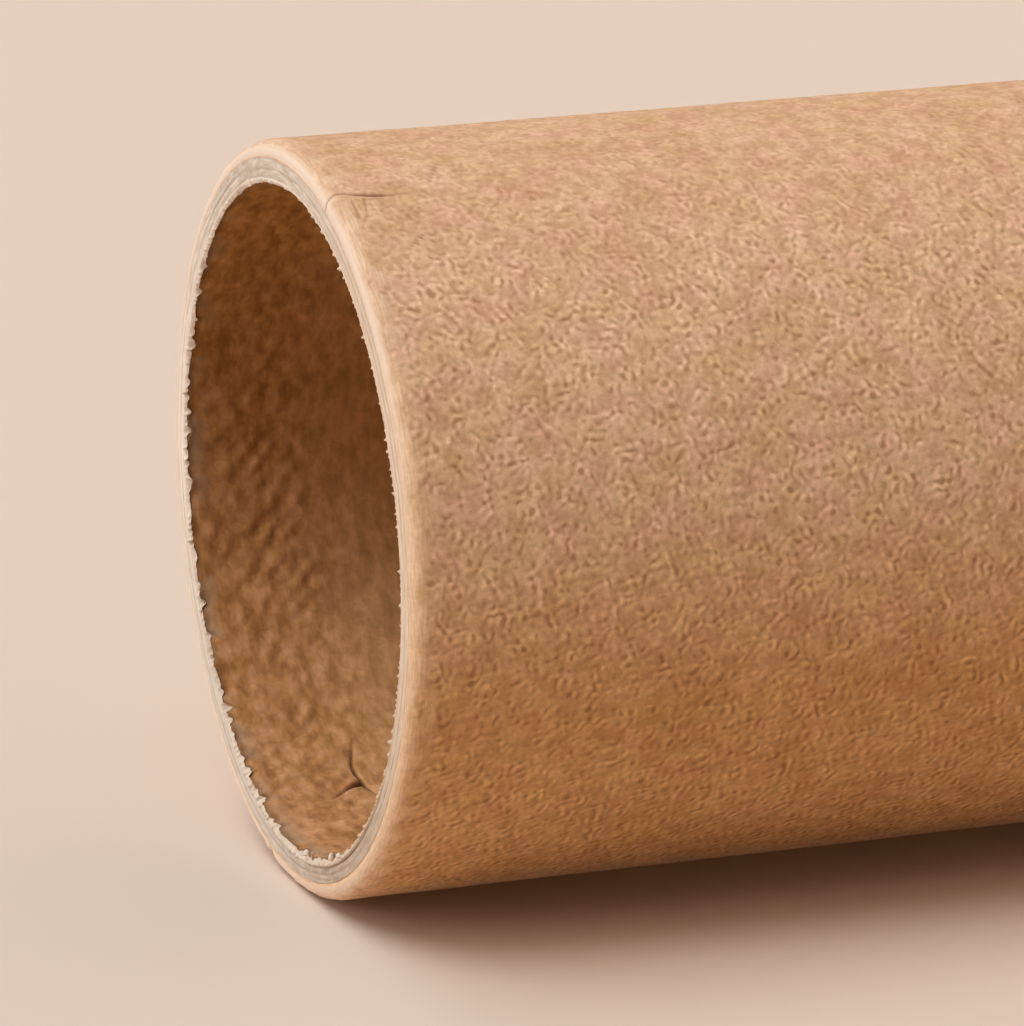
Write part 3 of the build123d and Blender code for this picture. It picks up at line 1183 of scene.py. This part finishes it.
# Distant lamps: direction along, away and above in the lying tube's terms, level, softness and colour.
# Level 1 shows a colour that faces the lamp about as it is written.
LAMPS = (
    ("key", (-0.5, 0.0, 0.87), 0.67, 40, (0.98, 1.0, 1.0)),
    ("front", (-0.35, -0.35, 0.87), 0.15, 40, (1.0, 0.97, 0.86)),
    ("mouth", (-0.94, 0.0, 0.34), 0.3, 30, (1.0, 0.97, 0.92)),
    ("behind", (0.0, 0.5, 0.87), 0.3, 40, (0.89, 0.95, 1.0)),
    ("low behind", (0.29, 0.71, 0.64), 0.2, 40, (0.98, 0.99, 1.0)),
    ("back", (0.0, 0.87, -0.5), 0.32, 30, (1.0, 0.95, 0.88)),
)
WORLD_COLOUR = (1.0, 0.82, 0.62, 1.0)
WORLD_STRENGTH = 0.01


def make_plane(name, middle, across, upward, half_across, half_up):
    """A flat, matt stage sheet that faces across x upward."""
    corners = [(-1, -1), (1, -1), (1, 1), (-1, 1)]
    points = [middle + across * (a * half_across) + upward * (b * half_up) for a, b in corners]
    mesh = bpy.data.meshes.new(name)
    mesh.from_pydata(points, [], [(0, 1, 2, 3)])
    sheet = bpy.data.objects.new(name, mesh)
    bpy.context.scene.collection.objects.link(sheet)
    material, shader, add = new_material(name)
    paint(shader, STAGE_COLOUR, STAGE_ROUGHNESS, specular=0.0)
    mesh.materials.append(material)
    return sheet, shader, add


def make_stage():
    """A pale floor under the tube, and the wall that stands in for the photograph's table.

    The wall hides nothing from behind.
    """
    up = Vector((0, 0, 1))
    make_plane("floor", Vector((0, 0, 0)), Vector((1, 0, 0)), Vector((0, 1, 0)), FLOOR_HALF, FLOOR_HALF)
    foot = TABLE_UP * (-OUTER * MM - WALL_GAP)
    middle = foot + up * WALL_HALF_HEIGHT
    wall, shader, add = make_plane("wall", middle, AWAY, up, WALL_HALF_WIDTH, WALL_HALF_HEIGHT)
    wall.visible_shadow = False
    back = add("NewGeometry").outputs["Backfacing"]
    clear = add("BsdfTransparent").outputs[0]
    mix = add("MixShader", {0: back, 1: shader.outputs[0], 2: clear}).outputs[0]
    feed(shader.id_data.nodes["Material Output"].inputs["Surface"], mix)


def make_lights():
    """Soft, nearly white light from above the photograph's table, strongest from the open end."""
    for name, (along, away, above), level, softness, colour in LAMPS:
        toward = (ALONG * along + AWAY * away + TABLE_UP * above).normalized()
        lamp = bpy.data.lights.new(name, "SUN")
        lamp.energy = level * math.pi
        lamp.angle = math.radians(softness)
        lamp.color = colour
        holder = bpy.data.objects.new(name, lamp)
        holder.rotation_mode = "QUATERNION"
        holder.rotation_quaternion = toward.to_track_quat("Z", "Y")
        bpy.context.scene.collection.objects.link(holder)
    world = bpy.data.worlds.new("studio")
    bpy.context.scene.world = world
    world.use_nodes = True
    background = world.node_tree.nodes["Background"]
    feed(background.inputs["Color"], WORLD_COLOUR)
    feed(background.inputs["Strength"], WORLD_STRENGTH)


def make_camera():
    """The photograph's camera, rolled to lay the standing tube on its side."""
    level = ALONG * math.sin(CAMERA_YAW) + AWAY * math.cos(CAMERA_YAW)
    right = ALONG * math.cos(CAMERA_YAW) - AWAY * math.sin(CAMERA_YAW)
    forward = level * math.cos(CAMERA_PITCH) - TABLE_UP * math.sin(CAMERA_PITCH)
    upward = level * math.sin(CAMERA_PITCH) + TABLE_UP * math.cos(CAMERA_PITCH)
    offset_x = (END_PIXEL[0] - PHOTO_SIZE[0] / 2) / FOCAL_PIXELS
    offset_y = (END_PIXEL[1] - PHOTO_SIZE[1] / 2) / FOCAL_PIXELS
    end = Vector((0, 0, LENGTH * MM))
    place = end - (forward + right * offset_x - upward * offset_y) * END_DEPTH
    camera = bpy.data.cameras.new("camera")
    camera.sensor_width = SENSOR
    camera.lens = FOCAL_PIXELS * SENSOR / max(PHOTO_SIZE)
    holder = bpy.data.objects.new("camera", camera)
    turned = Matrix((right, upward, -forward)).transposed().to_4x4()
    holder.matrix_world = Matrix.Translation(place) @ turned
    bpy.context.scene.collection.objects.link(holder)
    bpy.context.scene.camera = holder


bpy.context.scene.view_settings.view_transform = "Standard"

outer_ply = make_outer_ply()
outer_ply.data.materials.append(kraft_material())
board = make_board()
board.data.materials.append(bore_material())
board.data.materials.append(cut_material())
lip_fibres = make_lip_fibres()
lip_fibres.data.materials.append(fibre_material())
for piece in (outer_ply, board, lip_fibres):
    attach(piece, "root")
    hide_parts("tube")

make_stage()
make_lights()
make_camera()
